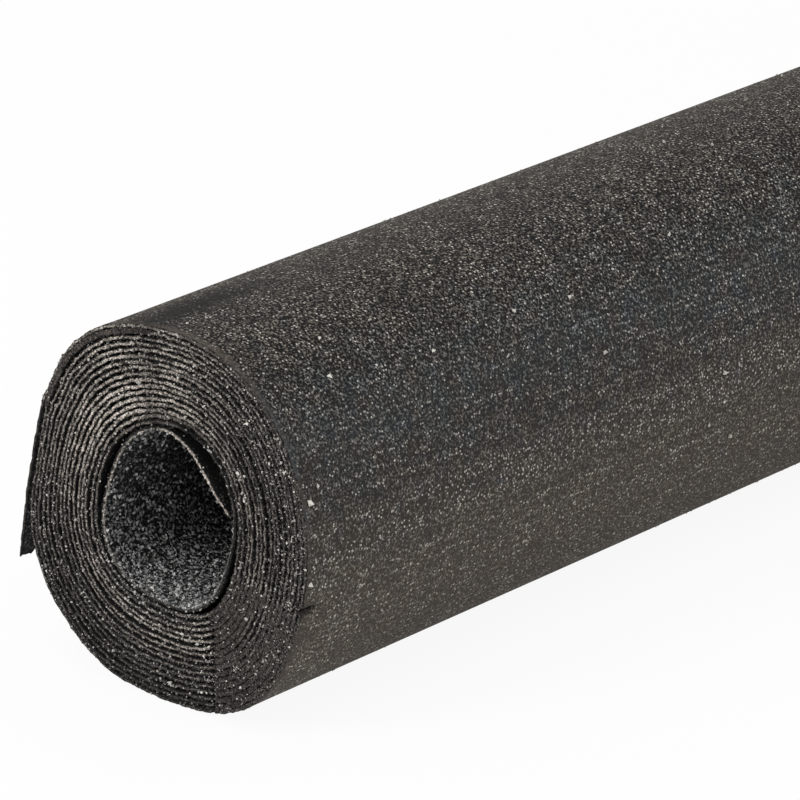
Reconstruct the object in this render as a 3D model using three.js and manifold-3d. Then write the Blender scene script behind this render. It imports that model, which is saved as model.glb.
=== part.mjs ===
// A roll of sanded roofing felt, lying on its side: one sheet wound on itself.
// Millimetres, +Z up. The roll's axis lies along Y, and the origin is on the floor,
// at the middle of the roll's footprint.
//
// The section (X, Z) is drawn as the path of the sheet's inner face, counter-clockwise
// seen from -Y. Its places are given by the winding angle, in degrees from the inner
// free end: the first turn hangs loose in the bore, the turns after it are wound tight,
// and past the last of them the outer end peels off the roll as a stiff flap.

import * as THREE from 'three';
import { mergeVertices } from 'three/addons/utils/BufferGeometryUtils.js';
import Module from 'manifold-3d';

// ---- driving dimensions (mm, degrees) ----

const FELT_LENGTH = 5000;
const FELT_WIDTH = 1000;
const SHEET_THICKNESS = 1.3;
const TURN_GAP = 0.68;            // air and loose sand between two wound turns
const BORE_RADIUS = 30.1;         // to the inner face of the first wound turn
const OUTER_END_ANGLE = 154;      // where the outer end leaves the roll, from +X

// The felt is soft, so no turn is a true circle: crests, each raised by a height, stand
// so many times round, the first of them at an angle from +X.
const BORE_LOBES = [
  { around: 1, height: 2.44, crest: 49 },
  { around: 2, height: 1.52, crest: 56 },
  { around: 3, height: 0.88, crest: 74 },
  { around: 4, height: 0.62, crest: 43 },
];
const OUTER_LOBES = [
  { around: 1, height: 0.92, crest: 33 },
  { around: 2, height: 2.38, crest: 64 },
  { around: 3, height: 0.89, crest: 82 },
  { around: 4, height: 1.24, crest: 38 },
  { around: 6, height: 0.48, crest: 3 },
];

// Under the flap the outer turns are pressed flat: at an angle, over so many degrees either
// way, and ever deeper from one radius to another.
const FLATTENED = { angle: 174, reach: 26, from: 38, to: 61, depth: 2.4 };

// The inner free end stands off the turn behind it and leaves a pocket there. Further
// round, the loose turn sags away from that turn twice more, by so much half-way along.
const POCKET_HEIGHT = 5.9;
const POCKET_ANGLE = 80;
const SAGS = [
  { from: 80, to: 200, height: 2.1 },
  { from: 265, to: 360, height: 1.7 },
];

// The outer end, from where it leaves the roll to its edge.
const FLAP_LENGTH = 58;
const FLAP_LEAN = 12;             // from the vertical, away from the roll
const FLAP_BOW = 0.8;
const FLAP_STEPS = 7;

// At both ends of the roll the gaps between the turns are open to this depth. Deeper
// in, the turns press on each other, and the winding is one solid.
const END_GAP_DEPTH = 4;

const FACETS_PER_TURN = 36;

// ---- the winding, worked out from them ----

const FULL_TURN = 360;
const facetAngle = FULL_TURN / FACETS_PER_TURN;
const pitch = SHEET_THICKNESS + TURN_GAP;

const looseLength = 2 * Math.PI * (BORE_RADIUS - pitch);
const woundLength = FELT_LENGTH - looseLength - FLAP_LENGTH;
const woundRadius = Math.sqrt(BORE_RADIUS ** 2 + (woundLength * pitch) / Math.PI);
const woundTurns = (woundRadius - BORE_RADIUS) / pitch;

const looseEnd = FULL_TURN;
const lastAngle = looseEnd + woundTurns * FULL_TURN;
const freeEndAngle = OUTER_END_ANGLE - lastAngle;
const radians = THREE.MathUtils.degToRad;

function raised(lobes, angle) {
  return lobes.reduce(
    (sum, lobe) => sum + lobe.height * Math.cos(radians(lobe.around * (angle - lobe.crest))),
    0,
  );
}

// How far the loose turn hangs in from its spiral. The free end's edge touches the turn
// behind it, and the pocket is deepest a third of the way along.
function standOff(winding) {
  if (winding < POCKET_ANGLE) {
    const along = winding / POCKET_ANGLE;
    const deepest = 4 / 27;
    return (POCKET_HEIGHT * along * (1 - along) ** 2) / deepest;
  }
  const sag = SAGS.find(({ from, to }) => winding > from && winding < to);
  if (!sag) return 0;
  return sag.height * Math.sin((Math.PI * (winding - sag.from)) / (sag.to - sag.from)) ** 2;
}

function flattened(radius, angle) {
  const { euclideanModulo, smoothstep } = THREE.MathUtils;
  const away = euclideanModulo(angle - FLATTENED.angle + 180, FULL_TURN) - 180;
  const nearby = 1 - smoothstep(Math.abs(away), 0, FLATTENED.reach);
  return FLATTENED.depth * nearby * smoothstep(radius, FLATTENED.from, FLATTENED.to);
}

function innerFaceRadius(winding) {
  const angle = freeEndAngle + winding;
  const outward = Math.max(0, (winding - looseEnd) / (lastAngle - looseEnd));
  const shape = THREE.MathUtils.lerp(
    raised(BORE_LOBES, angle),
    raised(OUTER_LOBES, angle),
    outward,
  );
  const spiral = BORE_RADIUS + pitch * (winding / FULL_TURN - 1);
  const radius = spiral + shape - standOff(winding);
  return radius - flattened(radius, angle);
}

function polar(radius, angle) {
  return new THREE.Vector2(radius * Math.cos(radians(angle)), radius * Math.sin(radians(angle)));
}

const innerFace = (winding) => polar(innerFaceRadius(winding), freeEndAngle + winding);
const outerFace = (winding) =>
  polar(innerFaceRadius(winding) + SHEET_THICKNESS, freeEndAngle + winding);

// Every turn breaks into facets at the same angles, so that neighbouring faces stay
// parallel. The facet edges are set half a facet off the vertical, which leaves one
// whole facet at the bottom of the roll.
function windings(from, to) {
  const downward = -90;
  const firstEdge = downward + facetAngle / 2 - freeEndAngle;
  const edgesBefore = Math.floor((from - firstEdge) / facetAngle) + 1;
  const angles = [from];
  for (let edge = firstEdge + edgesBefore * facetAngle; edge < to; edge += facetAngle) {
    angles.push(edge);
  }
  angles.push(to);
  return angles;
}

// ---- the section ----

function flapFaces() {
  const start = outerFace(lastAngle);
  const lean = radians(FLAP_LEAN);
  const along = new THREE.Vector2(-Math.sin(lean), -Math.cos(lean));
  const outward = new THREE.Vector2(along.y, -along.x);
  const outer = [];
  const inner = [];
  for (let k = 1; k <= FLAP_STEPS; k++) {
    const share = k / FLAP_STEPS;
    const point = start
      .clone()
      .addScaledVector(along, FLAP_LENGTH * share)
      .addScaledVector(outward, FLAP_BOW * Math.sin(Math.PI * share));
    outer.push(point);
    inner.push(point.clone().addScaledVector(outward, -SHEET_THICKNESS));
  }
  return { outer, inner };
}

// The roll without the gaps at its ends: its outline with the flap, and its bore with
// the loose turn and the pocket behind the free end.
function windingShape() {
  const flap = flapFaces();
  const outline = [
    ...windings(lastAngle - FULL_TURN, lastAngle).map(outerFace),
    ...flap.outer,
    ...flap.inner.reverse(),
    innerFace(lastAngle),
  ];
  const bore = [
    ...windings(0, looseEnd + POCKET_ANGLE).map(innerFace),
    ...windings(0, POCKET_ANGLE).map(outerFace).reverse(),
  ];
  const shape = new THREE.Shape(outline);
  shape.holes.push(new THREE.Path(bore));
  return shape;
}

// The one long gap that runs from the pocket to under the flap.
function gapShape() {
  const from = POCKET_ANGLE;
  const to = lastAngle - FULL_TURN;
  return new THREE.Shape([
    ...windings(from, to).map(outerFace),
    ...windings(from + FULL_TURN, to + FULL_TURN).map(innerFace).reverse(),
  ]);
}

// ---- solids ----

const wasm = await Module();
wasm.setup();

function solidFrom(geometry) {
  geometry.deleteAttribute('normal');
  geometry.deleteAttribute('uv');
  const merged = mergeVertices(geometry);
  return new wasm.Manifold(new wasm.Mesh({
    numProp: 3,
    vertProperties: new Float32Array(merged.attributes.position.array),
    triVerts: new Uint32Array(merged.index.array),
  }));
}

function geometryFrom(solid) {
  const mesh = solid.getMesh();
  const geometry = new THREE.BufferGeometry();
  geometry.setAttribute('position', new THREE.BufferAttribute(mesh.vertProperties, 3));
  geometry.setIndex(new THREE.BufferAttribute(mesh.triVerts, 1));
  return geometry;
}

// A section (X, Z) drawn out along Y, from one place to another.
function drawnOut(shape, fromY, toY) {
  const geometry = new THREE.ExtrudeGeometry(shape, {
    depth: toY - fromY,
    bevelEnabled: false,
    steps: 1,
  });
  geometry.rotateX(Math.PI / 2);
  geometry.translate(0, toY, 0);
  return geometry;
}

function feltRoll() {
  const end = FELT_WIDTH / 2;
  const gap = gapShape();
  const winding = solidFrom(drawnOut(windingShape(), -end, end))
    .subtract(solidFrom(drawnOut(gap, -end - END_GAP_DEPTH, -end + END_GAP_DEPTH)))
    .subtract(solidFrom(drawnOut(gap, end - END_GAP_DEPTH, end + END_GAP_DEPTH)));
  const geometry = geometryFrom(winding);

  geometry.computeBoundingBox();
  const { min, max } = geometry.boundingBox;
  geometry.translate(-(min.x + max.x) / 2, 0, -min.z);
  geometry.computeVertexNormals();
  return geometry;
}

const feltMaterial = new THREE.MeshStandardMaterial({
  name: 'bitumen_felt',
  color: 0x33312e,
  roughness: 0.9,
  metalness: 0,
});

const roll = new THREE.Mesh(feltRoll(), feltMaterial);
roll.name = 'felt_roll';

const group = new THREE.Group();
group.add(roll);

export default group;
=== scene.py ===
"""A roll of sanded roofing felt, lying on its side.

Everything is in metres, +Z up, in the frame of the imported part: the roll's axis runs along Y
and the roll rests on the floor at Z = 0. The felt is modelled flat, as it leaves the mill, and
is then wound on itself. A place on the flat sheet is given by
    along   the way from the inner free end of the sheet to its outer end,
    across  the way over its width, 0 in the middle, negative at the front end of the roll,
    height  how far it stands off the inner face: 0 there, one thickness on the outer face.
Angles are in degrees from +X, counter-clockwise as the front end is seen.
"""

import math

import bpy
import numpy as np
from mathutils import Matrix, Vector


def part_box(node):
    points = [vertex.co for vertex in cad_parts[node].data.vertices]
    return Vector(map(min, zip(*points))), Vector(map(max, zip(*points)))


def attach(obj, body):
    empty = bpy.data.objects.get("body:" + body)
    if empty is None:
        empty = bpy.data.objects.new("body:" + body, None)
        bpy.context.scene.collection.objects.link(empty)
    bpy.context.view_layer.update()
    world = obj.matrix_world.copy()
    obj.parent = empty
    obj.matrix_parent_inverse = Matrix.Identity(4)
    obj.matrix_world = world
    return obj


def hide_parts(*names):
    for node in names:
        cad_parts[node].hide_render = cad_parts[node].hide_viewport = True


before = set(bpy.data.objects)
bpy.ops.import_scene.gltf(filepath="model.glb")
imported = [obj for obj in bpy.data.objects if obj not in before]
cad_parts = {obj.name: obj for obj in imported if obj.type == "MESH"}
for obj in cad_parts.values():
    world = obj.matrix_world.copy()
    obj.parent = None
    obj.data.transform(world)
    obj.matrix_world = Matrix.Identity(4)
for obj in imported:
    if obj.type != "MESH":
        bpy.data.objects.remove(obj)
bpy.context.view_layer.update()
bpy.ops.object.select_all(action="DESELECT")

MM = 0.001
NODE = "felt_roll"
BODY = "root"

# ---- the roll's sizes ----

roll_low, roll_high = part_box(NODE)
HALF_WIDTH = (roll_high.y - roll_low.y) / 2
SHEET_THICKNESS = 1.3 * MM
TURN_GAP = 0.68 * MM
PITCH = SHEET_THICKNESS + TURN_GAP
BORE_RADIUS = 30.1 * MM
FELT_LENGTH = 5.0
FLAP_LENGTH = 58 * MM
FLAP_LEAN = math.radians(12)
FLAP_BOW = 0.8 * MM
OUTER_END_ANGLE = 154
FULL_TURN = 360

# The turns are not true circles: so many crests stand round them, each of a height, the
# first at an angle.
BORE_LOBES = ((1, 2.44 * MM, 49), (2, 1.52 * MM, 56), (3, 0.88 * MM, 74), (4, 0.62 * MM, 43))
OUTER_LOBES = (
    (1, 0.92 * MM, 33), (2, 2.38 * MM, 64), (3, 0.89 * MM, 82), (4, 1.24 * MM, 38),
    (6, 0.48 * MM, 3),
)

# The loose turn stands off the turn behind it: in a pocket at its free end, and in two sags
# between one winding angle and another.
POCKET_HEIGHT = 5.9 * MM
POCKET_ANGLE = 80
SAGS = ((80, 200, 2.1 * MM), (265, 360, 1.7 * MM))

LOOSE_LENGTH = 2 * math.pi * (BORE_RADIUS - PITCH)
WOUND_LENGTH = FELT_LENGTH - LOOSE_LENGTH - FLAP_LENGTH
WOUND_RADIUS = math.sqrt(BORE_RADIUS**2 + WOUND_LENGTH * PITCH / math.pi)
LAST_WINDING = FULL_TURN * (1 + (WOUND_RADIUS - BORE_RADIUS) / PITCH)
FREE_END_ANGLE = OUTER_END_ANGLE - LAST_WINDING

# Where the sheet is parted into pieces, by the angle it has turned through.
INNER_TURN_END = 2 * FULL_TURN + 5
OUTER_TURN_START = LAST_WINDING - FULL_TURN

FRONT, BACK = -1, 1         # the two ends of the roll
END_BAND = 5 * MM           # how deep the single turns are modelled at the ends of the roll
OPEN_DEPTH = 4 * MM         # how deep the gaps between them are open

# Flats and bulges in the outer turns, over the whole width: at an angle, over so many
# degrees either way, and how far in they go. The deepest lies under the flap.
DENTS = ((145, 9, 0.8 * MM), (174, 26, 2.4 * MM), (226, 11, 0.3 * MM), (246, 9, -0.4 * MM))
DENTS_FROM = 38 * MM        # the radius at which they set in
DENTS_FULL = 61 * MM        # the radius from which they are at their full depth

# ---- camera ----

VIEW_AZIMUTH = math.radians(41.98)
VIEW_DROP = math.radians(21.28)
VIEW_DISTANCE = 1.874
VIEW_AIM = Vector((0.045, -0.4376, 0.09517))
VIEW_LENS = 270


def make_camera():
    camera = bpy.data.cameras.new("camera")
    camera.lens = VIEW_LENS
    camera.sensor_width = 36
    camera.clip_start = 0.05
    camera.clip_end = 60
    holder = bpy.data.objects.new("camera", camera)
    bpy.context.scene.collection.objects.link(holder)
    forward = Vector((
        -math.sin(VIEW_AZIMUTH) * math.cos(VIEW_DROP),
        math.cos(VIEW_AZIMUTH) * math.cos(VIEW_DROP),
        -math.sin(VIEW_DROP),
    ))
    holder.location = VIEW_AIM - forward * VIEW_DISTANCE
    holder.rotation_mode = "QUATERNION"
    holder.rotation_quaternion = forward.to_track_quat("-Z", "Y")
    bpy.context.scene.camera = holder


make_camera()

# ---- shapes of a single value ----


def smooth(value, low, high):
    """0 up to the low value, 1 from the high one on, and a smooth rise between them."""
    share = np.clip((value - low) / (high - low), 0, 1)
    return share * share * (3 - 2 * share)


def bump(distance, reach):
    """1 at no distance, falling smoothly to 0 at the reach."""
    return 1 - smooth(np.abs(distance), 0, reach)


def apart(angle, other):
    """The angle between two directions, from -180 to 180 degrees."""
    return (angle - other + 180) % FULL_TURN - 180


def wander(place, waves, seed):
    """A smooth run of swells with no period, between -1 and 1."""
    starts = np.random.default_rng(seed).uniform(0, 2 * math.pi, len(waves))
    swells = [np.sin(2 * math.pi * place / wave + start) for wave, start in zip(waves, starts)]
    return sum(swells) / len(waves)


# ---- the winding ----


def raised(lobes, angle):
    return sum(h * np.cos(np.radians(around * (angle - crest))) for around, h, crest in lobes)


def stand_off(winding):
    """How far the loose turn hangs in from the spiral."""
    share = np.clip(winding / POCKET_ANGLE, 0, 1)
    hang = POCKET_HEIGHT * share * (1 - share) ** 2 * 27 / 4
    for start, end, height in SAGS:
        share = np.clip((winding - start) / (end - start), 0, 1)
        hang = hang + height * np.sin(math.pi * share) ** 2
    return hang


def dented(angle, radius):
    depth = sum(depth * bump(apart(angle, at), reach) for at, reach, depth in DENTS)
    return depth * smooth(radius, DENTS_FROM, DENTS_FULL)


def inner_face_radius(winding):
    angle = FREE_END_ANGLE + winding
    outward = np.clip((winding - FULL_TURN) / (LAST_WINDING - FULL_TURN), 0, None)
    shape = (1 - outward) * raised(BORE_LOBES, angle) + outward * raised(OUTER_LOBES, angle)
    radius = BORE_RADIUS + PITCH * (winding / FULL_TURN - 1) + shape - stand_off(winding)
    return radius - dented(angle, radius)


def polar(radius, angle):
    return np.stack([radius * np.cos(np.radians(angle)), radius * np.sin(np.radians(angle))], 1)


def lengths(line):
    """How far along the line each of its points is."""
    steps = np.linalg.norm(np.diff(line, axis=0), axis=1)
    return np.concatenate([[0], np.cumsum(steps)])


def rounded(line, reach):
    """The line with its creases rounded off over so many of its points."""
    window = np.ones(2 * reach + 1) / (2 * reach + 1)
    longer = np.pad(line, ((reach, reach), (0, 0)), mode="reflect", reflect_type="odd")
    return np.stack([np.convolve(longer[:, k], window, "valid") for k in (0, 1)], axis=1)


class Path:
    """The line of the sheet's outer face in the roll's section (X, Z), about the roll's axis."""

    WINDING_STEP = 0.5
    FLAP_POINTS = 60
    STEP = 0.5 * MM         # between the points of the finished line
    CREASE_REACH = 5        # how many points either way its creases are rounded over

    def __init__(self):
        winding = np.arange(0, LAST_WINDING, self.WINDING_STEP)
        wound = polar(inner_face_radius(winding) + SHEET_THICKNESS, FREE_END_ANGLE + winding)
        self.winding = winding
        self.winding_length = lengths(wound)
        share = np.linspace(0, 1, self.FLAP_POINTS)[1:, None]
        down = np.array([-math.sin(FLAP_LEAN), -math.cos(FLAP_LEAN)])
        outward = np.array([down[1], -down[0]])
        bow = FLAP_BOW * np.sin(math.pi * share)
        flap = wound[-1] + down * FLAP_LENGTH * share + outward * bow
        line = np.concatenate([wound, flap])
        self.end = lengths(line)[-1]
        self.at = np.arange(0, self.end, self.STEP)
        even = [np.interp(self.at, lengths(line), line[:, k]) for k in (0, 1)]
        self.points = rounded(np.stack(even, axis=1), self.CREASE_REACH)
        way = np.gradient(self.points, axis=0)
        way /= np.linalg.norm(way, axis=1, keepdims=True)
        self.outward = np.stack([way[:, 1], -way[:, 0]], axis=1)
        # The axis lies where the roll rests on the floor, in the middle of its footprint.
        last_turn = self.points[self.at > self.length_at(OUTER_TURN_START)]
        self.axis = np.array([-(last_turn[:, 0].min() + last_turn[:, 0].max()) / 2,
                              -last_turn[:, 1].min()])

    def length_at(self, winding):
        return float(np.interp(winding, self.winding, self.winding_length))

    def length_below(self, angle):
        """The last turn's length so far, where it passes an angle."""
        return self.length_at(LAST_WINDING - (OUTER_END_ANGLE - angle) % FULL_TURN)

    def find(self, along):
        """The points on the line and the ways out of it, at so far along."""
        def read(values):
            return np.stack([np.interp(along, self.at, values[:, k]) for k in (0, 1)], axis=1)
        return read(self.points), read(self.outward)


path = Path()
LOOSE_END = path.length_at(FULL_TURN)
FLAP_START = path.length_at(LAST_WINDING)
TURN_LENGTH = FLAP_START - path.length_at(OUTER_TURN_START)

# ---- how the real winding strays from the even one ----

STRAY = 0.6 * MM                    # how far a turn's edge stands out of the end, or lies back
STRAY_WAVES = (1.13, 0.43, 0.19, 0.071)
RIPPLE = 0.33 * MM                  # how far a turn's edge swings towards its neighbours
RIPPLE_WAVES = (0.041, 0.019, 0.0087, 0.0053)
RIPPLE_DEPTH = 9 * MM

# The crushed corner at the lower right of the front end: over which angles it sets in, and
# over which it ends. A few gaps are still open in its upper half.
CORNER_STARTS, CORNER_ENDS = (280, 288), (338, 352)
CORNER_STAND_OUT = 0.5 * MM
OPEN_ANGLE, OPEN_REACH_ROUND = 328, 17
OPEN_RADIUS, OPEN_REACH_OUT = 46 * MM, 5 * MM
OPEN_SHARE = 0.9
PRESSED_DEPTH = 3 * MM
PRESSED_WAVES = (0.031, 0.013, 0.007)

# The upright crack that parts the corner from the turns on its left.
SEAM = 21 * MM
SEAM_HALF_WIDTH = 0.9 * MM
SEAM_DEPTH = 1.6 * MM
SEAM_STARTS = (280, 290)
SEAM_RADII = (33 * MM, 36 * MM)

# The outer turns are pressed too, up the right-hand side and over the top, and less with each
# turn inwards. The outermost edge is worn smooth at the upper right.
SIDE_ANGLE, SIDE_REACH, SIDE_SHARE = 17, 35, 0.8
SIDE_TURNS = (1.0, 2.2)
TOP_STARTS, TOP_ENDS = (88, 98), (150, 156)
TOP_TURNS = (1.5, 2)
WORN_ANGLE, WORN_REACH, WORN_SHARE = 60, 45, 0.85

# A short tear in the front edge of the last turn, with a lip that stands up below it.
TEAR_AT = path.length_below(347)
TEAR_LENGTH = 6.5 * MM
TEAR_HALF_WIDTH = 1.3 * MM
TEAR_DEPTH = 1.8 * MM
LIP = 6 * MM
LIP_HEIGHT = 0.6 * MM

FEATHERED = 9 * MM                  # how long the thin inner end is
FEATHERED_TO = 0.55                 # the share of the thickness that is left at its edge
EDGE_ROUND = 0.42 * MM              # the rounding of the cut edges


def round_axis(spot):
    """The angle and radius of spots about the axis."""
    angle = np.degrees(np.arctan2(spot[:, 1], spot[:, 0])) % FULL_TURN
    return angle, np.hypot(spot[:, 0], spot[:, 1])


def within(angle, starts, ends):
    """1 between two angles and 0 elsewhere, each of the two reached over a few degrees."""
    return smooth(angle, *starts) * (1 - smooth(angle, *ends))


def pressed(spot, along):
    """How far the front ends of the turns are pressed shut, 0 to 1, at spots about the axis."""
    angle, radius = round_axis(spot)
    corner = within(angle, CORNER_STARTS, CORNER_ENDS)
    corner = corner * smooth(spot[:, 0], SEAM - 0.2 * MM, SEAM + 0.4 * MM)
    still_open = bump(apart(angle, OPEN_ANGLE), OPEN_REACH_ROUND)
    still_open = still_open * bump(radius - OPEN_RADIUS, OPEN_REACH_OUT)
    uneven = 1 - 0.2 * smooth(wander(along, PRESSED_WAVES, 8), 0, 0.4)
    corner = corner * (1 - OPEN_SHARE * still_open) * uneven
    turns_left = (FLAP_START - along) / TURN_LENGTH
    side = SIDE_SHARE * bump(apart(angle, SIDE_ANGLE), SIDE_REACH)
    side = side * (1 - smooth(turns_left, *SIDE_TURNS))
    top = within(angle, TOP_STARTS, TOP_ENDS) * (turns_left > 1)
    top = top * (1 - smooth(turns_left, *TOP_TURNS))
    outermost = WORN_SHARE * bump(apart(angle, WORN_ANGLE), WORN_REACH) * (turns_left < 1)
    return np.max([corner, side, top, outermost], axis=0)


def seam(spot):
    """How deep in the crack of the crushed corner spots about the axis lie, 0 to 1."""
    angle, radius = round_axis(spot)
    there = smooth(angle, *SEAM_STARTS) * smooth(radius, *SEAM_RADII)
    return there * bump(spot[:, 0] - SEAM, SEAM_HALF_WIDTH)


def torn(along, inside, front):
    """How far the tear in the last turn moves the sheet out, in metres."""
    below = TEAR_AT - TEAR_HALF_WIDTH - along
    in_length = front * (1 - smooth(inside, TEAR_LENGTH - 2 * MM, TEAR_LENGTH))
    lip = (below > 0) * (1 - smooth(below, 0, LIP))
    return in_length * (LIP_HEIGHT * lip - TEAR_DEPTH * bump(along - TEAR_AT, TEAR_HALF_WIDTH))


def thinned(along):
    """The share of its thickness that the sheet keeps, towards its feathered inner end."""
    return FEATHERED_TO + (1 - FEATHERED_TO) * smooth(along, 0, FEATHERED)


def wound(along, across, height):
    """Where places on the flat sheet lie once it is wound, and how far they are pressed."""
    point, outward = path.find(along)
    inside = np.maximum(HALF_WIDTH - np.abs(across), 0)
    side = np.sign(across)
    spot = point + outward * ((height - SHEET_THICKNESS) * thinned(along))[:, None]
    press = pressed(spot, along) * np.exp(-inside / PRESSED_DEPTH) * (side < 0)
    cracked = seam(spot) * (side < 0)
    swing = RIPPLE * wander(along, RIPPLE_WAVES, 5) * np.exp(-inside / RIPPLE_DEPTH)
    swing = swing * smooth(along, LOOSE_END - 20 * MM, LOOSE_END + 20 * MM)
    room = np.where(along < FLAP_START - TURN_LENGTH, TURN_GAP, 0)
    lift = (1 - press) * swing + press * room * height / SHEET_THICKNESS
    lift = lift + torn(along, inside, side < 0)
    spot = spot + outward * lift[:, None] + path.axis
    # Pressed edges lose their rounding and come flush with each other.
    flush = side * press * inside * (inside < EDGE_ROUND)
    stray = (1 - press) * STRAY * wander(along, STRAY_WAVES, 3) - press * CORNER_STAND_OUT
    groove = cracked * SEAM_DEPTH * np.exp(-inside / PRESSED_DEPTH)
    places = [spot[:, 0], across + flush + stray + groove, np.maximum(spot[:, 1], 0)]
    return np.stack(places, axis=1), press, cracked


# ---- wear, round the roll ----

# On the ends: how pale the cut edges are rubbed, paler towards the top partly as painted light
# from above, and how thickly grit lies on them.
END_ANGLES = (0, 30, 60, 85, 110, 150, 170, 190, 207, 230, 255, 275, 298, 308, 340)
RUBBED_AND_LIT = (0.35, 0.3, 0.6, 1.4, 1.6, 0.85, 0.55, 0.4, 0.35, 0.35, 0.45, 0.6, 0.75, 0.2, 0.3)
GRITTY = (0.6, 0.7, 0.45, 0.3, 0.2, 0.2, 0.3, 0.5, 0.9, 1, 1, 0.8, 0.6, 0.4, 0.5)

# How much of the rubbing is left from the bore outwards, and where the grit lies thick: out
# from one pair of radii, in from the other, and a share of it everywhere.
END_RADII = (30 * MM, 34 * MM, 38 * MM, 43 * MM, 49 * MM, 54 * MM, 62 * MM)
RUBBED_OUT = (0.6, 0.8, 1.15, 0.85, 0.5, 0.48, 0.42)
OUTER_GRIT, INNER_GRIT = (44 * MM, 50 * MM), (33 * MM, 38 * MM)
GRIT_EVERYWHERE = 0.3

# On the wall of the bore: how much sand has come to lie on it.
BORE_ANGLES = (0, 90, 150, 180, 200, 230, 270, 300, 330)
BORE_SAND = (0.1, 0.25, 0.45, 0.65, 0.85, 0.87, 0.85, 0.65, 0.2)

# On the outer face: how strongly the sand stands out, how pale the ground is with dust and with a
# painted reflection of the floor, most towards the bottom, and how warm.
FACE_ANGLES = (-45, -20, 5, 20, 35, 50, 65, 80, 95, 115, 170, 230)
SANDED = (1.2, 1.2, 0.75, 0.65, 0.7, 1, 1.1, 0.95, 0.7, 0.9, 0.8, 0.7)
DUST_AND_SHEEN = (0.8, 0.77, 0.56, 0.36, 0.38, 0.08, 0, 0, 0.1, 0.3, 0.4, 0.8)
WARM = (1, 1, 0.85, 0.6, 0.35, 0.5, 0.9, 1, 1, 1, 1, 1)

# Away from the front end the sand stands out a little more: how much, and where over the width.
MORE_SANDED = 0.15
MORE_SANDED_ACROSS = (-360 * MM, -260 * MM)

# How dark the felt is soiled where the sand has come off, and how dark painted shade makes the
# flap. The hollow behind the loose turn is painted dark as shade, but for its very edge.
SOILED_BARE, SHADED_FLAP = 0.8, 0.6
UNSHADED_EDGE = 0.2 * MM

# Spots on the ends: at an angle, over so many degrees either way, at a radius, over so far
# in and out, and how much darker or paler than the rest.
DARK_SPOTS = (
    (172, 32, 60 * MM, 10 * MM, 0.5), (225, 50, 58 * MM, 16 * MM, 0.53),
    (270, 50, 59 * MM, 14 * MM, 0.67), (198, 28, 48 * MM, 8 * MM, 0.3),
    (35, 60, 48 * MM, 8 * MM, 0.55), (45, 80, 34 * MM, 9 * MM, 0.75),
    (72, 30, 36 * MM, 6 * MM, 0.5),
)
PALE_SPOTS = (
    (98, 36, 54 * MM, 9 * MM, 0.25), (92, 16, 46 * MM, 8 * MM, 0.4),
    (238, 45, 38 * MM, 9 * MM, 0.35), (288, 15, 35 * MM, 6 * MM, 0.4),
)

# A patch where the sand has come off: its middle, and how far it reaches.
BARE_ANGLE, BARE_REACH_ROUND = 97, 12
BARE_ACROSS, BARE_REACH_ACROSS = -480 * MM, 50 * MM

# The loose turn's edge, by its winding: rubbed pale at the free end, then pale only along the
# bore, and smooth at last, pale on its rim by the bore and painted dark beyond it as the shadow in
# the gap to the next turn. The pale line leans to the bore.
LOOSE_WINDINGS = (0, 66, 86, 170, 195, 220, 290, 340, 365)
LOOSE_RUBBED = (1.4, 1.4, 0.8, 0.7, 0.5, 0.2, 0.1, 0.1, 0.3)
LOOSE_RIM_AND_SHADOW = (0, 0, 0, 0.1, 0.4, 0.9, 1, 1, 0.8)
LOOSE_GRITTY = (0, 0, 0.1, 0.1, 0.7, 0.9, 0.5, 0.1, 0.3)
LOOSE_LEAN = (0.2, 0, 0.8, 0.8, 0.6, 0, 0, 0, 0)

# The turn next to it lies under dark dust on the left of the bore, and the hollow between the two
# is painted black as shade but for the pocket. Both go by how far round from the free end it is.
FROM_FREE_END = (0, 80, 100, 200, 260, 360)
DUST_ON_TURN = (0.35, 0.55, 0.75, 0.85, 0.5, 0)
HOLLOW_SHADE = (0.68, 0.68, 0.9, 1, 1, 1)


def by_angle(angle, angles, shares):
    return np.interp(angle, angles, shares, period=FULL_TURN)


def winding_at(along):
    return np.interp(along, path.winding_length, path.winding)


def rubbed_and_lit(angle, radius, along):
    winding = winding_at(along)
    loose = np.interp(winding, LOOSE_WINDINGS, LOOSE_RUBBED)
    # Paler towards the top of the end: rubbing, and painted light from above.
    share = by_angle(angle, END_ANGLES, RUBBED_AND_LIT) * np.interp(radius, END_RADII, RUBBED_OUT)
    share = share + spots(angle, radius, PALE_SPOTS)
    share = share * (1 - np.interp(winding - FULL_TURN, FROM_FREE_END, DUST_ON_TURN))
    on_flap = smooth(along, FLAP_START - 3 * MM, FLAP_START)
    return np.where(along < LOOSE_END, loose, share * (1 - on_flap))


def gritty(angle, radius, along):
    loose = np.interp(winding_at(along), LOOSE_WINDINGS, LOOSE_GRITTY)
    share = by_angle(angle, END_ANGLES, GRITTY)
    outer = smooth(radius, *OUTER_GRIT)
    inner = 1 - smooth(radius, *INNER_GRIT)
    thick = np.maximum(outer, 0.8 * inner)
    share = share * (GRIT_EVERYWHERE + (1 - GRIT_EVERYWHERE) * thick)
    share = share * (1 - spots(angle, radius, DARK_SPOTS))
    return np.where(along < LOOSE_END, loose, share)


def loose_only(along, shares):
    """Shares that the loose turn has by its winding, and no other turn has."""
    return np.where(along < LOOSE_END, np.interp(winding_at(along), LOOSE_WINDINGS, shares), 0)


def spots(angle, radius, listed):
    """How strong the listed spots are together."""
    return sum(
        share * bump(apart(angle, at), round_reach) * bump(radius - out, out_reach)
        for at, round_reach, out, out_reach, share in listed
    )


def hollow_shade(along, height):
    """How dark painted shade makes the sheet in the hollow behind the loose turn."""
    behind = (along < LOOSE_END) & (height > SHEET_THICKNESS / 2)
    ahead = (along > LOOSE_END) & (along < FLAP_START - TURN_LENGTH)
    darkness = np.interp(winding_at(along) % FULL_TURN, FROM_FREE_END, HOLLOW_SHADE)
    return darkness * (behind | (ahead & (height < SHEET_THICKNESS / 2)))


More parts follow.
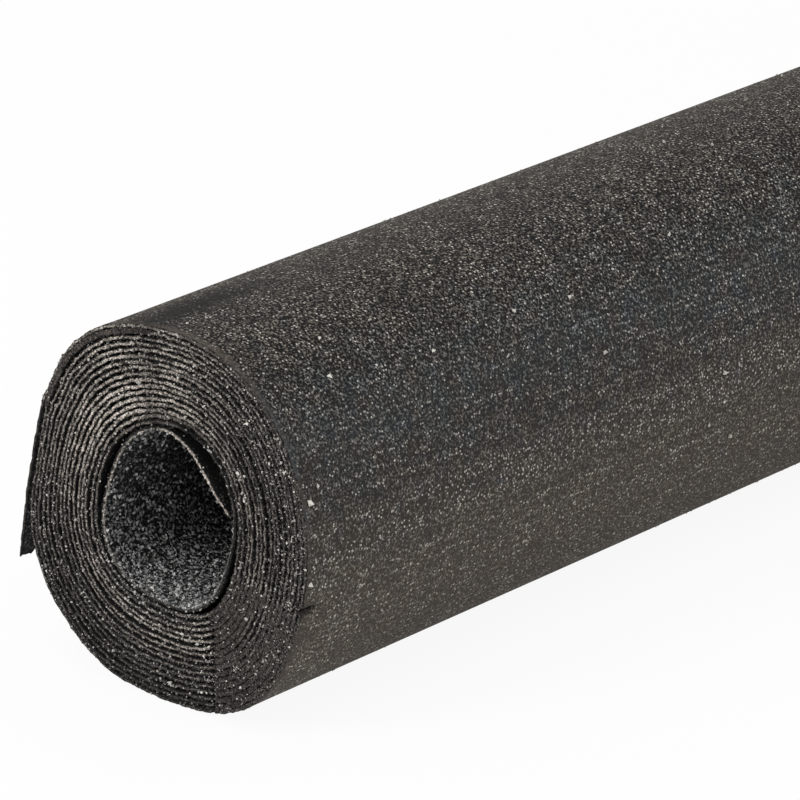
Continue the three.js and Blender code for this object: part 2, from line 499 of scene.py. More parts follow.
def wear(places, along, across, height):
    """The shares of wear at places on the roll, as the materials read them."""
    angle, radius = round_axis(places[:, [0, 2]] - path.axis)
    bare = bump(apart(angle, BARE_ANGLE), BARE_REACH_ROUND)
    bare = bare * bump(across - BARE_ACROSS, BARE_REACH_ACROSS)
    sanded = by_angle(angle, FACE_ANGLES, SANDED)
    sanded = sanded + MORE_SANDED * smooth(across, *MORE_SANDED_ACROSS)
    # The tear is painted black: painted shade in its crack.
    tear = bump(along - TEAR_AT, 1.6 * TEAR_HALF_WIDTH) * (across < TEAR_LENGTH - HALF_WIDTH)
    # Painted shade darkens the whole flap.
    on_flap = smooth(along, FLAP_START - 2 * MM, FLAP_START + 2 * MM)
    inside = HALF_WIDTH - np.abs(across)
    # Soiled where the sand has come off; painted shade on the flap, in the tear and in the hollow.
    soiled_and_shaded = SOILED_BARE * bare + tear + SHADED_FLAP * on_flap
    soiled_and_shaded = soiled_and_shaded + hollow_shade(along, height) * (inside > UNSHADED_EDGE)
    dark = spots(angle, radius, DARK_SPOTS) * (inside < END_BAND) * (along < FLAP_START)
    soiled_and_shaded = np.clip(soiled_and_shaded + dark, 0, 1)
    return {
        "rubbed_and_lit": rubbed_and_lit(angle, radius, along),
        "gritty": gritty(angle, radius, along),
        "lean": loose_only(along, LOOSE_LEAN),
        "rim_and_shadow": loose_only(along, LOOSE_RIM_AND_SHADOW),
        "bore_sand": by_angle(angle, BORE_ANGLES, BORE_SAND),
        "sanded": sanded * (1 - 0.7 * bare),
        "dust_and_sheen": by_angle(angle, FACE_ANGLES, DUST_AND_SHEEN),
        "warm": by_angle(angle, FACE_ANGLES, WARM),
        "soiled_and_shaded": soiled_and_shaded,
    }


# ---- modelling in edit mode ----


def coordinates(piece):
    flat = np.empty(len(piece.data.vertices) * 3)
    piece.data.vertices.foreach_get("co", flat)
    return flat.reshape(-1, 3)


def put(piece, places):
    piece.data.vertices.foreach_set("co", np.asarray(places, dtype=np.float32).ravel())
    piece.data.update()


def edge_ends(piece):
    """The places of both ends of every edge."""
    pairs = np.empty(len(piece.data.edges) * 2, dtype=np.int64)
    piece.data.edges.foreach_get("vertices", pairs)
    places = coordinates(piece)
    return places[pairs[0::2]], places[pairs[1::2]]


def face_values(piece, name):
    flat = np.empty(len(piece.data.polygons) * 3)
    piece.data.polygons.foreach_get(name, flat)
    return flat.reshape(-1, 3)


def edit(piece, kind, chosen):
    """Opens edit mode with only the chosen faces or edges of the piece selected."""
    mesh = piece.data
    kinds = {"faces": mesh.polygons, "edges": mesh.edges, "vertices": mesh.vertices}
    for elements in kinds.values():
        elements.foreach_set("select", np.zeros(len(elements), dtype=bool))
    kinds[kind].foreach_set("select", chosen)
    bpy.context.view_layer.objects.active = piece
    bpy.context.tool_settings.mesh_select_mode = [
        kind == "vertices", kind == "edges", kind == "faces",
    ]
    bpy.ops.object.mode_set(mode="EDIT")


def leave():
    bpy.ops.object.mode_set(mode="OBJECT")


def vertex_group(piece, name, chosen):
    group = piece.vertex_groups.new(name=name)
    group.add(np.flatnonzero(chosen).tolist(), 1.0, "REPLACE")
    return name


def modify(piece, kind, **settings):
    """Adds a modifier and applies it."""
    bpy.context.view_layer.objects.active = piece
    modifier = piece.modifiers.new(kind.lower(), kind)
    for name, value in settings.items():
        setattr(modifier, name, value)
    bpy.ops.object.modifier_apply(modifier=modifier.name)


def clouds(name, size, depth):
    texture = bpy.data.textures.new(name, "CLOUDS")
    texture.noise_scale = size
    texture.noise_depth = depth
    return texture


FIBRES = clouds("fibres", 0.9 * MM, 2)
TATTERS = clouds("tatters", 2.5 * MM, 4)
FRAY = 0.9 * MM             # how far the fibres stand out of a cut edge
SWELL = 1.0 * MM            # how far a cut edge swells and thins
TATTER = 6 * MM             # how deep the outer end is torn
HAIR = 0.01 * MM            # places closer than this lie together
LEVEL = 0.97                # a face whose normal is this upright lies in the sheet
CREASE = math.radians(50)   # edges sharper than this aren't shaded smooth


def flat_felt(name, start, end, column, rows, front=-HALF_WIDTH, back=HALF_WIDTH):
    """A flat stretch of the sheet's inner face, as a grid of faces."""
    bpy.ops.mesh.primitive_grid_add(
        x_subdivisions=round((end - start) / column), y_subdivisions=rows, size=1
    )
    piece = bpy.context.object
    piece.name = name
    bpy.ops.object.mode_set(mode="EDIT")
    bpy.ops.transform.resize(value=(end - start, back - front, 1))
    bpy.ops.transform.translate(value=((start + end) / 2, (front + back) / 2, 0))
    leave()
    return piece


def refine(piece, chosen, cuts):
    """Divides the chosen faces further, for the detail near an edge of the sheet."""
    edit(piece, "faces", chosen)
    bpy.ops.mesh.subdivide(number_cuts=cuts)
    leave()


def at_cut(places):
    """Which places on the flat sheet lie on its cut edges."""
    ends = np.minimum(np.abs(places[:, 0]), np.abs(places[:, 0] - path.end))
    return np.minimum(HALF_WIDTH - np.abs(places[:, 1]), ends) < HAIR


def thicken(piece):
    """Gives the sheet its thickness, and rounds its cut edges over."""
    modify(piece, "SOLIDIFY", thickness=SHEET_THICKNESS, offset=1)
    first, second = edge_ends(piece)
    level = np.abs(first[:, 2] - second[:, 2]) < HAIR
    edit(piece, "edges", level & at_cut(first) & at_cut(second) & at_cut((first + second) / 2))
    bpy.ops.mesh.bevel(offset=EDGE_ROUND, segments=2)
    leave()


def fray(piece):
    """Roughens the cut edges at both ends of the roll."""
    inside = HALF_WIDTH - np.abs(coordinates(piece)[:, 1])
    cut = vertex_group(piece, "cut_edges", inside < EDGE_ROUND * 0.7)
    near = vertex_group(piece, "near_edges", inside < 1.5 * MM)
    for group, direction, strength in ((cut, "Y", FRAY), (near, "Z", SWELL)):
        modify(
            piece, "DISPLACE", texture=FIBRES, texture_coords="LOCAL", direction=direction,
            strength=strength, mid_level=0.5, vertex_group=group,
        )


def tear_tip(piece):
    """Tears the outer end of the sheet to a ragged line."""
    places = coordinates(piece)
    tip = vertex_group(piece, "tip", places[:, 0] > path.end - 3 * MM)
    modify(
        piece, "DISPLACE", texture=TATTERS, texture_coords="LOCAL", direction="X",
        strength=TATTER, mid_level=0.75, vertex_group=tip,
    )


def part_faces(piece, inner_finish, outer_finish):
    """Gives each face the finish of its side of the sheet, by which way it looks."""
    upward = face_values(piece, "normal")[:, 2]
    side = np.where(upward > LEVEL, 1, np.where(upward < -LEVEL, 0, 2))
    for finish in (inner_finish, outer_finish, CUT_EDGE):
        piece.data.materials.append(finish)
    piece.data.polygons.foreach_set("material_index", side.astype(np.int32))


def write_attribute(piece, name, kind, values):
    field = "vector" if kind == "FLOAT_VECTOR" else "value"
    attribute = piece.data.attributes.new(name, kind, "POINT")
    attribute.data.foreach_set(field, np.asarray(values, dtype=np.float32).ravel())


def wind(piece):
    """Winds a flat piece of the sheet into its place in the roll."""
    flat = coordinates(piece)
    places, press, cracked = wound(*flat.T)
    shares = wear(places, *flat.T)
    shares["pressed"] = press
    # The seam's crack is painted dark too: painted shade in the crack.
    shares["soiled_and_shaded"] = np.clip(shares["soiled_and_shaded"] + cracked, 0, 1)
    write_attribute(piece, "flat", "FLOAT_VECTOR", flat)
    for name, values in shares.items():
        write_attribute(piece, name, "FLOAT", values)
    put(piece, places)


def settle(piece):
    """Hands a finished piece over: smooth faces, no groups, riding on the roll's body."""
    piece.vertex_groups.clear()
    bpy.context.view_layer.objects.active = piece
    piece.select_set(True)
    bpy.ops.object.shade_smooth_by_angle(angle=CREASE)
    piece.select_set(False)
    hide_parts(NODE)
    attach(piece, BODY)


# ---- materials ----


class Value:
    """A number, vector or colour in a material. Sums on it add the nodes that work them out."""

    def __init__(self, nodes, socket):
        self.nodes = nodes
        self.socket = socket

    def sum(self, operation, *values):
        return self.nodes.node("Math", {"operation": operation}, dict(enumerate(values)))

    def __add__(self, other):
        return self.sum("ADD", self, other)

    def __sub__(self, other):
        return self.sum("SUBTRACT", self, other)

    def __mul__(self, other):
        return self.sum("MULTIPLY", self, other)

    def __rsub__(self, other):
        return self.sum("SUBTRACT", other, self)

    def __pow__(self, other):
        return self.sum("POWER", self, other)

    __radd__ = __add__
    __rmul__ = __mul__

    def largest(self, other):
        return self.sum("MAXIMUM", self, other)

    def size(self):
        return self.sum("ABSOLUTE", self)

    def between(self, low, high):
        """0 up to the low value, 1 from the high one on, and a smooth rise between them."""
        return self.nodes.node(
            "MapRange", {"interpolation_type": "SMOOTHSTEP"},
            {"Value": self, "From Min": low, "From Max": high},
        )

    def other(self, output):
        """Another output of the same node."""
        return Value(self.nodes, self.socket.node.outputs[output])


class Nodes:
    """A node tree that is emptied and then filled node by node."""

    def __init__(self, owner):
        owner.use_nodes = True
        self.tree = owner.node_tree
        self.tree.nodes.clear()

    def node(self, kind, settings, sockets, output=0):
        """Adds a node with its settings, and the values or links of its sockets."""
        made = self.tree.nodes.new("ShaderNode" + kind)
        for name, value in settings.items():
            setattr(made, name, value)
        for name, value in sockets.items():
            if isinstance(value, Value):
                self.tree.links.new(value.socket, made.inputs[name])
            else:
                made.inputs[name].default_value = value
        return Value(self, made.outputs[output]) if made.outputs else None

    def for_eyes(self, seen, lit):
        """One shader for what the camera sees, straight or mirrored, and another for the light."""
        rays = self.node("LightPath", {}, {}, "Is Camera Ray")
        seen_rays = rays.largest(rays.other("Is Glossy Ray"))
        seen_rays = seen_rays.largest(rays.other("Is Transmission Ray"))
        return self.node("MixShader", {}, {0: seen_rays, 1: lit, 2: seen})


class Finish(Nodes):
    """A material, with the nodes that its surface is worked out by."""

    MIX_SHARE, MIX_FIRST, MIX_SECOND, MIX_COLOUR = 0, 6, 7, 2

    def __init__(self, name):
        self.material = bpy.data.materials.new(name)
        super().__init__(self.material)

    def place(self):
        return self.node("TexCoord", {}, {}, "Object")

    def attribute(self, name, output="Fac"):
        return self.node("Attribute", {"attribute_name": name}, {}, output)

    def noise(self, place, size, detail=2.0, rough=0.5):
        """Cloudy noise with swells of a size in metres."""
        sockets = {"Vector": place, "Scale": 1 / size, "Detail": detail, "Roughness": rough}
        return self.node("TexNoise", {}, sockets)

    def grains(self, place, size):
        """Grains of a size in metres: how far a point is from the middle of its grain."""
        return self.node("TexVoronoi", {}, {"Vector": place, "Scale": 1 / size})

    def chance(self, grains):
        """A number from 0 to 1 for each grain."""
        return self.node("SeparateColor", {}, {"Color": grains.other("Color")})

    def part(self, vector, axis):
        """One of the three parts of a vector."""
        return self.node("SeparateXYZ", {}, {"Vector": vector}, axis)

    def mix(self, share, first, second):
        sockets = {self.MIX_SHARE: share, self.MIX_FIRST: first, self.MIX_SECOND: second}
        return self.node("Mix", {"data_type": "RGBA"}, sockets, self.MIX_COLOUR)

    def soil_and_shade(self, colours):
        """The colours, blackened where the felt is soiled, where it is darker in spots, and where
        shade is
        painted in: on the flap, in the tear and the seam, and in the hollow behind the loose turn.
        """
        return self.mix(self.attribute("soiled_and_shaded"), colours, colour(9, 9, 9))

    def surface(self, colour, roughness, height, relief):
        """The finished surface: relief is the height's full depth in metres."""
        bumps = self.node("Bump", {}, {"Height": height, "Distance": relief, "Strength": 1.0})
        shader = self.node("BsdfPrincipled", {}, {
            "Base Color": colour, "Roughness": roughness, "Normal": bumps,
            "Specular IOR Level": 0.2,
        })
        self.node("OutputMaterial", {}, {"Surface": shader})
        return self.material


def colour(red, green, blue):
    """A colour as the eye reads it, 0 to 255, in the linear terms of a shader."""
    shares = (part / 255 for part in (red, green, blue))
    return (*(s / 12.92 if s <= 0.04045 else ((s + 0.055) / 1.055) ** 2.4 for s in shares), 1)


def sanded_face():
    """The outer face: fine pale sand rolled into black bitumen, rubbed off along the rims."""
    finish = Finish("sanded_face")
    place = finish.place()
    sanded = finish.attribute("sanded")
    across = finish.part(finish.attribute("flat", "Vector"), 1)
    frayed = across.size() + finish.noise(place, 5 * MM, 3) * (4 * MM)
    rim = frayed.between(HALF_WIDTH - 1.4 * MM, HALF_WIDTH + 0.8 * MM)
    patches = finish.noise(place, 9 * MM, 4, 0.6).between(0.3, 0.7)
    density = (0.65 + 0.6 * patches) * (1 - 0.7 * rim)
    sand = finish.noise(place, 0.85 * MM, 2, 0.6).between(0.46, 0.76) * density
    grains = finish.grains(place, 1.15 * MM)
    grain = (1 - grains.between(0.2, 0.4)) * finish.chance(grains).between(0.2, 1) ** 3
    warm = finish.attribute("warm") + finish.noise(place, 7 * MM) * 1.6 - 0.8
    warm = warm.between(0, 1)
    pale_ground = finish.mix(warm, colour(60, 64, 68), colour(73, 66, 60))
    # Paler ground: dust, and a painted reflection of the floor towards the bottom of the roll.
    dust_and_sheen = finish.attribute("dust_and_sheen").largest(rim * 0.85)
    pit = finish.mix(dust_and_sheen, colour(8, 8, 8), pale_ground)
    bright = finish.mix(warm, colour(136, 139, 141), colour(148, 140, 129))
    crest = finish.mix(sanded, colour(98, 95, 91), bright)
    level = finish.mix(sand, pit, crest)
    colours = finish.mix(grain * density * (0.5 + 0.45 * sanded), level, colour(216, 212, 204))
    return finish.surface(finish.soil_and_shade(colours), 0.9, sand + grain, 0.2 * MM)


def granule_face():
    """The inner face: coarser chips under a skin of bitumen, sandy where it looks up, and darkened
    by painted shade away from the ends of the roll.
    """
    finish = Finish("granule_face")
    place = finish.place()
    sandy = finish.attribute("bore_sand")
    across = finish.part(finish.attribute("flat", "Vector"), 1)
    mouth = across.size().between(HALF_WIDTH - 90 * MM, HALF_WIDTH)
    chips = finish.grains(place, 2.4 * MM)
    chip = (1 - chips.between(0.14, 0.36)) * finish.chance(chips) ** 1.6
    sand = finish.noise(place, 1.1 * MM, 2, 0.6)
    fine = finish.noise(place, 0.5 * MM, 2, 0.6).between(0.35, 0.65)
    grit = sand.between(0.5, 0.68) * (0.2 + 0.9 * fine) * (0.06 + 0.94 * sandy ** 2)
    # Away from the ends the ground turns blacker and the pale grit dims: painted shade inside the
    # bore.
    ground = finish.mix(mouth, colour(8, 8, 9), colour(22, 22, 23))
    pale_grit = grit.largest(chip * (0.2 + 0.8 * fine)) * (0.1 + 0.9 * mouth)
    colours = finish.mix(pale_grit, ground, colour(240, 240, 240))
    return finish.surface(finish.soil_and_shade(colours), 0.7, chip + sand, 0.6 * MM)


def cut_edge():
    """The cut edges: felt fibre rubbed pale between two skins of bitumen, with grit on it, paler
    at the top of the end partly as painted light, and with a painted shadow line on the loose
    turn.
    """
    finish = Finish("cut_edge")
    place = finish.place()
    flat = finish.attribute("flat", "Vector")
    patchy = finish.noise(place, 6 * MM, 3, 0.6).between(0.3, 0.7)
    rubbed_and_lit = finish.attribute("rubbed_and_lit") * (0.5 + 0.75 * patchy)
    gritty = 0.15 + 0.85 * finish.attribute("gritty")
    shut = finish.attribute("pressed")
    height = finish.part(flat, 2) * (2 / SHEET_THICKNESS)
    core = 1 - (height - 1 + finish.attribute("lean")).size()
    fibre = finish.noise(flat, 1.1 * MM, 3, 0.65)
    skin = 0.5 - 0.5 * rubbed_and_lit
    pale = (core + fibre * 2.6 - 1.3).between(skin, skin + 0.35)
    sand = finish.noise(place, 0.6 * MM, 1, 0.5)
    hue = finish.noise(place, 8 * MM, 1).between(0.35, 0.65)
    worn_low = finish.noise(place, 0.9 * MM, 2, 0.6).between(0.35, 0.65)
    crumbs = finish.noise(place, 0.65 * MM, 3, 0.7)
    nicks = 0.95 * (1 - crumbs.between(0.36, 0.5))
    lit = finish.mix(hue, colour(158, 147, 139), colour(152, 146, 134))
    lit = finish.mix(crumbs.between(0.48, 0.66), lit, colour(240, 230, 221))
    dull = finish.mix(crumbs.between(0.5, 0.68), colour(88, 82, 77), colour(152, 143, 137))
    edge = finish.mix(nicks, finish.mix(rubbed_and_lit, dull, lit), colour(23, 21, 21))
    skins = finish.mix(rubbed_and_lit, colour(23, 21, 20), colour(28, 26, 24))
    banded = finish.mix(pale, skins, edge)
    worn = finish.mix(worn_low, colour(18, 17, 16), colour(80, 73, 68))
    worn = finish.mix(crumbs.between(0.56, 0.7) * 0.45, worn, colour(150, 142, 136))
    closed = finish.mix(shut.between(0.3, 0.8), banded, worn)
    # The loose turn's edge: pale on its side by the bore, and painted dark over its outer half as
    # the shadow in the gap to the next turn.
    lip = finish.mix(height.between(0.3, 1.0), colour(124, 122, 120), colour(22, 21, 21))
    closed = finish.mix(finish.attribute("rim_and_shadow"), closed, lip)
    dark = finish.mix((1 - sand.between(0.38, 0.5)) * gritty, closed, colour(10, 10, 10))
    colours = finish.mix(sand.between(0.58, 0.7) * gritty * 0.7, dark, colour(150, 148, 145))
    return finish.surface(finish.soil_and_shade(colours), 0.9, pale + sand, 0.35 * MM)


# Near black throughout: painted shade deep in the gaps between the turns.
def painted_shade_core():
    finish = Finish("painted_shade_core")
    soot = finish.noise(finish.place(), 3 * MM)
    return finish.surface(
        finish.mix(soot, colour(8, 8, 8), colour(22, 21, 20)), 0.9, soot, 0.2 * MM
    )


def loose_grit(name, palest):
    """Loose sand: from soot black through grey to nearly white, grain by grain."""
    finish = Finish(name)
    tone = finish.attribute("tone")
    speckle = finish.noise(finish.place(), 0.2 * MM, 1)
    base = finish.mix(tone, colour(22, 21, 20), palest)
    colours = finish.mix(speckle * 0.3, base, colour(80, 76, 72))
    return finish.surface(colours, 0.75, speckle, 0.03 * MM)


SANDED_FACE = sanded_face()
GRANULE_FACE = granule_face()
CUT_EDGE = cut_edge()
SHADE_CORE = painted_shade_core()
LOOSE_GRIT = loose_grit("loose_grit", colour(226, 222, 214))
BORE_GRIT = loose_grit("bore_grit", colour(224, 224, 223))

# ---- the turns ----

FRONT_COLUMN = 0.5 * MM
BACK_COLUMN = 1.0 * MM
FACE_COLUMN = 2.4 * MM
FACE_ROWS = 100
FINE_EDGE = 10 * MM         # how far in from the cut edges the faces are finer
FINE_TIP = 16 * MM          # how far in from the front the outer end's are finer still


def end_turns(name, side, column):
    """The turns between the inner and the outer one, as the strip that shows at one end. Both its
    faces, the walls of the gaps, are painted near black as shade.
    """
    start, end = path.length_at(INNER_TURN_END), path.length_at(OUTER_TURN_START)
    front, back = sorted((side * HALF_WIDTH, side * (HALF_WIDTH - END_BAND)))
    finish_felt(flat_felt(name, start, end, column, 2, front, back), SHADE_CORE, SHADE_CORE)


def full_turn(name, start, end, inner_finish, outer_finish, fine_end=0.0):
    """A turn that shows over its whole width, with finer faces along its cut edges."""
    piece = flat_felt(name, start, end, FACE_COLUMN, FACE_ROWS)
    middle = face_values(piece, "center")
    near_edge = np.abs(middle[:, 1]) > HALF_WIDTH - FINE_EDGE
    near_end = middle[:, 0] > end - fine_end
    refine(piece, near_edge | near_end, 3)
    if fine_end:
        middle = face_values(piece, "center")
        front_tip = (middle[:, 1] < FINE_TIP - HALF_WIDTH) & (middle[:, 0] > end - fine_end)
        refine(piece, front_tip, 2)
    finish_felt(piece, inner_finish, outer_finish)


def finish_felt(piece, inner_finish, outer_finish):
    thicken(piece)
    part_faces(piece, inner_finish, outer_finish)
    fray(piece)
    tear_tip(piece)
    wind(piece)
    settle(piece)


def turn_radius(angle, first):
    """The inner face's radius at an angle, on the turn that starts from a winding."""
    return inner_face_radius(first + (angle - FREE_END_ANGLE - first) % FULL_TURN)


def wound_core():
    """The turns between the two ends, pressed into one body painted near black as shade: a tube
    whose two faces are put where the outer and the inner turn lie on it."""
    bpy.ops.mesh.primitive_cylinder_add(
        vertices=180, radius=1, depth=2 * (HALF_WIDTH - OPEN_DEPTH), end_fill_type="NOTHING",
        rotation=(math.pi / 2, 0, 0),
    )
    piece = bpy.context.object
    piece.name = "wound_core"
    bpy.ops.object.transform_apply(location=True, rotation=True, scale=True)
    wall = 0.5
    modify(piece, "SOLIDIFY", thickness=wall, offset=-1)
    places = coordinates(piece)
    angle, radius = round_axis(places[:, [0, 2]])
    outside = radius > 1 - wall / 2
    radius = np.where(
        outside, turn_radius(angle, OUTER_TURN_START), turn_radius(angle, INNER_TURN_END)
    )
    section = polar(radius, angle) + path.axis
    put(piece, np.stack([section[:, 0], places[:, 1], section[:, 1]], axis=1))
    piece.data.materials.append(SHADE_CORE)
    settle(piece)


end_turns("front_turns", FRONT, FRONT_COLUMN)
end_turns("back_turns", BACK, BACK_COLUMN)
full_turn("inner_turn", 0, path.length_at(INNER_TURN_END), GRANULE_FACE, SANDED_FACE)
full_turn(
    "outer_turn", path.length_at(OUTER_TURN_START), path.end, GRANULE_FACE, SANDED_FACE,
    fine_end=5 * MM,
)
wound_core()

# ---- loose grit ----


def stone():
    """One angular grain with eight faces, 1 across."""
    bpy.ops.mesh.primitive_uv_sphere_add(segments=4, ring_count=3, radius=0.55)
    grain = bpy.context.object
    bpy.ops.object.mode_set(mode="EDIT")
    # Flattened, the two rings of corners merge into one, and leave two pyramids base to base.
    bpy.ops.transform.resize(value=(1, 1, 0.1))
    bpy.ops.mesh.remove_doubles(threshold=0.1)
    bpy.ops.transform.resize(value=(1.15, 1.15, 10))
    bpy.ops.transform.vertex_random(offset=0.2, uniform=0.5, seed=4)
    leave()
    places = coordinates(grain)
    faces = np.array([face.vertices[:] for face in grain.data.polygons])
    bpy.data.objects.remove(grain)
    return places, faces


STONE, STONE_FACES = stone()
GRAIN_SPREAD = 0.35
ABOVE_FLOOR = 0.7           # a grain whose middle is lower, in its own sizes, is left out


def turned(random, count):
    """Rotations in every direction alike."""
    w, x, y, z = random.normal(size=(4, count))
    size = np.sqrt(w * w + x * x + y * y + z * z)
    w, x, y, z = w / size, x / size, y / size, z / size
    return np.stack([
        np.stack([1 - 2 * (y * y + z * z), 2 * (x * y - z * w), 2 * (x * z + y * w)], 1),
        np.stack([2 * (x * y + z * w), 1 - 2 * (x * x + z * z), 2 * (y * z - x * w)], 1),
        np.stack([2 * (x * z - y * w), 2 * (y * z + x * w), 1 - 2 * (x * x + y * y)], 1),
    ], 1)


def grain_sizes(random, count, size_range):
    """Sizes of so many grains, from their middle, least and greatest size in millimetres."""
    middle, least, greatest = (size * MM for size in size_range)
    return np.clip(random.lognormal(math.log(middle), GRAIN_SPREAD, count), least, greatest)


def scatter(name, random, places, sizes, tones, finish=LOOSE_GRIT):
    """One joined mesh of grains, each at its place, turned and stretched in its own way."""
    above = places[:, 2] > ABOVE_FLOOR * sizes
    places, sizes, tones = places[above], sizes[above], tones[above]
    count = len(places)
    shape = STONE[None] * (sizes[:, None] * random.uniform(0.6, 1.3, (count, 3)))[:, None, :]
    vertices = np.einsum("nij,nvj->nvi", turned(random, count), shape) + places[:, None, :]
    faces = STONE_FACES[None] + np.arange(count)[:, None, None] * len(STONE)
    mesh = bpy.data.meshes.new(name)
    mesh.from_pydata(vertices.reshape(-1, 3).tolist(), [], faces.reshape(-1, 3).tolist())
    piece = bpy.data.objects.new(name, mesh)
    bpy.context.scene.collection.objects.link(piece)
    write_attribute(piece, "tone", "FLOAT", np.repeat(tones, len(STONE)))
    mesh.materials.append(finish)
    settle(piece)


PALE_TONES = (0.15, 1)

# Small heaps of grains on the front end, and single white stones on the outer face.
HEAPS = (
    (28, 39.5 * MM), (36, 41 * MM), (57, 37 * MM), (101, 45 * MM), (115, 42 * MM),
    (241, 36 * MM), (257, 26 * MM), (294, 41 * MM),
)
WHITE_STONES = (
    (48, -0.45), (24, -0.492), (61, -0.463), (8, -0.299), (48, -0.385), (52, -0.304),
    (-2, -0.298), (20, -0.497), (46, -0.36), (-16, -0.291), (-4, -0.498), (50, -0.47),
    (46, -0.4255),
)
LAST_TURN_GRIT = 0.7 * SHEET_THICKNESS      # how far out grit lies on the last turn's edge
CLEAR_GAP_FROM = 185        # the winding from which no grit lies in the gap of the loose turn
BORE_GRIT_REACH = 60 * MM   # how far in from the ends most of the grit in the bore lies


def end_grit(name, side, tries, size_range, pale_share, seed, least=0.0, dull=0.1):
    """Grit on the cut edges and in the gaps between them: a share of it pale, the rest dull.
    The least chance that a grain stays holds everywhere but on the loose turn's edge."""
    random = np.random.default_rng(seed)
    along = random.uniform(0, FLAP_START, tries)
    in_gap = random.random(tries) < 0.5
    height = np.where(
        in_gap,
        random.uniform(SHEET_THICKNESS, PITCH, tries),
        random.uniform(0, SHEET_THICKNESS, tries),
    )
    depth = np.where(in_gap, random.uniform(0.1 * MM, 2 * MM, tries), 0.0)
    places, press, _ = wound(along, side * (HALF_WIDTH - depth), height)
    angle, radius = round_axis(places[:, [0, 2]] - path.axis)
    in_last = FLAP_START - along < TURN_LENGTH
    loose = along < LOOSE_END
    chance = np.maximum(gritty(angle, radius, along), np.where(loose & ~in_gap, 0, least))
    chance = chance * (1 - 0.3 * press)
    chance = chance * ~(loose & in_gap & (winding_at(along) > CLEAR_GAP_FROM))
    kept = (random.random(tries) < chance) & ~(in_last & (in_gap | (height > LAST_TURN_GRIT)))
    places = places[kept]
    count = len(places)
    sizes = grain_sizes(random, count, size_range)
    pale = random.random(count) < pale_share
    tones = np.where(pale, random.uniform(*PALE_TONES, count), random.uniform(0, dull, count))
    scatter(name, random, places, sizes, tones)


def heaps(name, side, listed, count, size_range, reach, seed):
    """Small heaps of pale grains on an end, each round an angle and a radius."""
    random = np.random.default_rng(seed)
    angle, radius = np.repeat(np.array(listed), count, axis=0).T
    spot = polar(radius, angle) + random.normal(0, reach, (len(angle), 2)) + path.axis
    out = side * (HALF_WIDTH + random.uniform(-0.2 * MM, 0.4 * MM, len(angle)))
    places = np.stack([spot[:, 0], out, spot[:, 1]], axis=1)
    sizes = grain_sizes(random, len(angle), size_range)
    scatter(name, random, places, sizes, random.uniform(0.6, 1, len(angle)))


def single_stones(name, listed, size, seed):
    """White stones on the outer face, each at an angle and a place over the width."""
    random = np.random.default_rng(seed)
    angle, across = np.array(listed).T
    along = np.array([path.length_below(at) for at in angle])
    places = wound(along, across, np.full(len(along), SHEET_THICKNESS + 0.15 * size))[0]
    scatter(name, random, places, random.uniform(0.8, 1.2, len(along)) * size, np.ones(len(along)))


def face_grit(name, count, size_range, tones, seed):
    """Bigger grains that stand out of the sand of the outer face."""
    random = np.random.default_rng(seed)
    along = random.uniform(path.length_at(OUTER_TURN_START), FLAP_START, count)
    across = random.uniform(-HALF_WIDTH, HALF_WIDTH, count)
    sizes = grain_sizes(random, count, size_range)
    places = wound(along, across, SHEET_THICKNESS + 0.1 * sizes)[0]
    scatter(name, random, places, sizes, random.uniform(*tones, count))


def bore_grit(name, tries, size_range, floor_only, tones, seed):
    """Grains on the wall of the bore, thickest near the ends. A share of the tries stays only
    along its bottom."""
    random = np.random.default_rng(seed)
    along = random.uniform(0, LOOSE_END, tries)
    from_end = random.exponential(BORE_GRIT_REACH, tries) % HALF_WIDTH
    across = random.choice((-1, 1), tries) * (HALF_WIDTH - from_end)
    places = wound(along, across, np.full(tries, -0.05 * MM))[0]
    low_down = (path.axis[1] - places[:, 2]) / BORE_RADIUS
    places = places[random.random(tries) < np.maximum(smooth(low_down, 0, 0.9), 1 - floor_only)]
    sizes = grain_sizes(random, len(places), size_range)
    scatter(name, random, places, sizes, random.uniform(*tones, len(places)), BORE_GRIT)


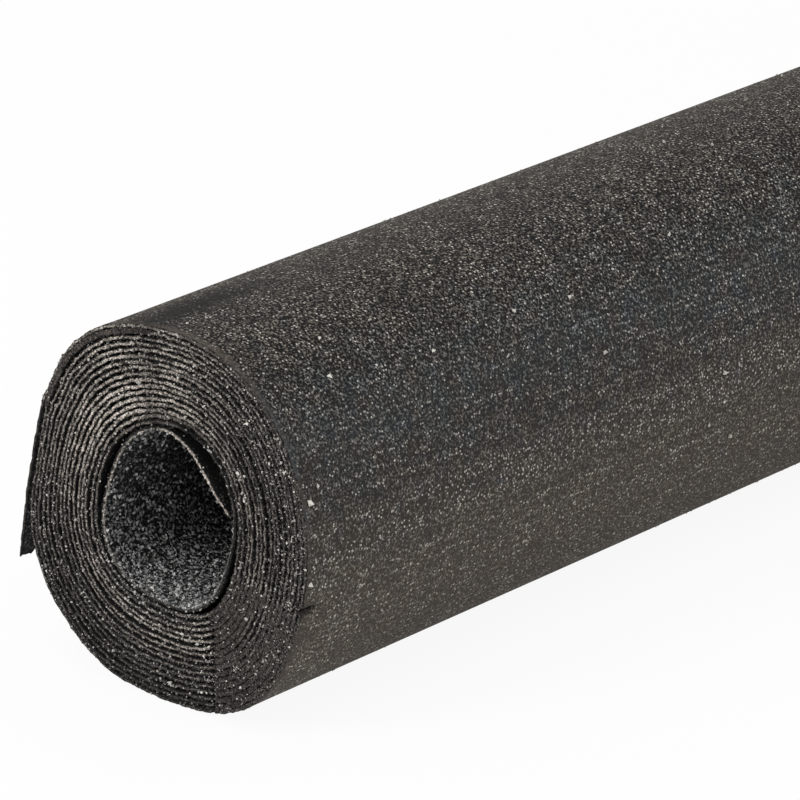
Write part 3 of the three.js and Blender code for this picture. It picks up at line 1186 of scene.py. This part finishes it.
end_grit("front_grit", FRONT, 36000, (0.45, 0.28, 0.8), pale_share=0.27, seed=11)
end_grit(
    "front_crumbs", FRONT, 24000, (0.6, 0.4, 0.9), pale_share=0.15, seed=21, least=0.38, dull=0.06
)
end_grit("front_sand", FRONT, 2400, (0.65, 0.5, 0.9), pale_share=1.0, seed=18)
end_grit("front_stones", FRONT, 300, (1.0, 0.8, 1.4), pale_share=1.0, seed=16)
end_grit("back_grit", BACK, 16000, (0.5, 0.3, 1.4), pale_share=0.3, seed=12)
heaps("front_heaps", FRONT, HEAPS, 6, (0.8, 0.5, 1.6), reach=1.0 * MM, seed=19)
single_stones("white_stones", WHITE_STONES, size=1.9 * MM, seed=20)
face_grit("face_grit", 3000, (0.5, 0.35, 0.8), tones=(0.2, 0.7), seed=13)
face_grit("face_stones", 160, (1.1, 0.8, 1.6), tones=(0.6, 1.0), seed=15)
bore_grit("bore_grit", 22000, (0.55, 0.35, 1.0), floor_only=1.0, tones=(0, 1.0), seed=14)
bore_grit("bore_chips", 8000, (1.0, 0.6, 1.6), floor_only=0.3, tones=(0, 0.9), seed=17)

# ---- studio ----

WHITE = (1, 1, 1, 1)
PAPER = (0.85, 0.85, 0.85, 1)
SKY_STRENGTH = 0.78
FLOOR_GLOW = 0.92           # the share of the seen floor that is white by itself


def make_floor():
    bpy.ops.mesh.primitive_plane_add(size=30)
    floor = bpy.context.object
    floor.name = "floor"
    finish = Finish("pale_floor")
    paper = finish.node("BsdfDiffuse", {}, {"Color": PAPER})
    white = finish.node("Emission", {}, {"Color": WHITE, "Strength": 1})
    glowing = finish.node("MixShader", {}, {0: FLOOR_GLOW, 1: paper, 2: white})
    finish.node("OutputMaterial", {}, {"Surface": finish.for_eyes(glowing, paper)})
    floor.data.materials.append(finish.material)


def make_world():
    world = bpy.data.worlds.new("studio")
    nodes = Nodes(world)
    glow = nodes.node("Background", {}, {"Color": WHITE, "Strength": SKY_STRENGTH})
    white = nodes.node("Background", {}, {"Color": WHITE, "Strength": 1})
    nodes.node("OutputWorld", {}, {"Surface": nodes.for_eyes(white, glow)})
    bpy.context.scene.world = world


def softbox(name, place, aim, size, power):
    lamp = bpy.data.lights.new(name, "AREA")
    lamp.shape = "SQUARE"
    lamp.size = size
    lamp.energy = power
    holder = bpy.data.objects.new(name, lamp)
    bpy.context.scene.collection.objects.link(holder)
    holder.location = place
    holder.rotation_mode = "QUATERNION"
    holder.rotation_quaternion = (Vector(aim) - Vector(place)).to_track_quat("-Z", "Y")


make_floor()
make_world()
softbox("top_box", place=(0.4, -0.2, 2.2), aim=(0, -0.3, 0.06), size=1.6, power=5)
softbox("front_box", place=(-0.6, -2.3, 1.2), aim=(0, -0.5, 0.06), size=1.0, power=27)
bpy.context.scene.view_settings.view_transform = "Standard"
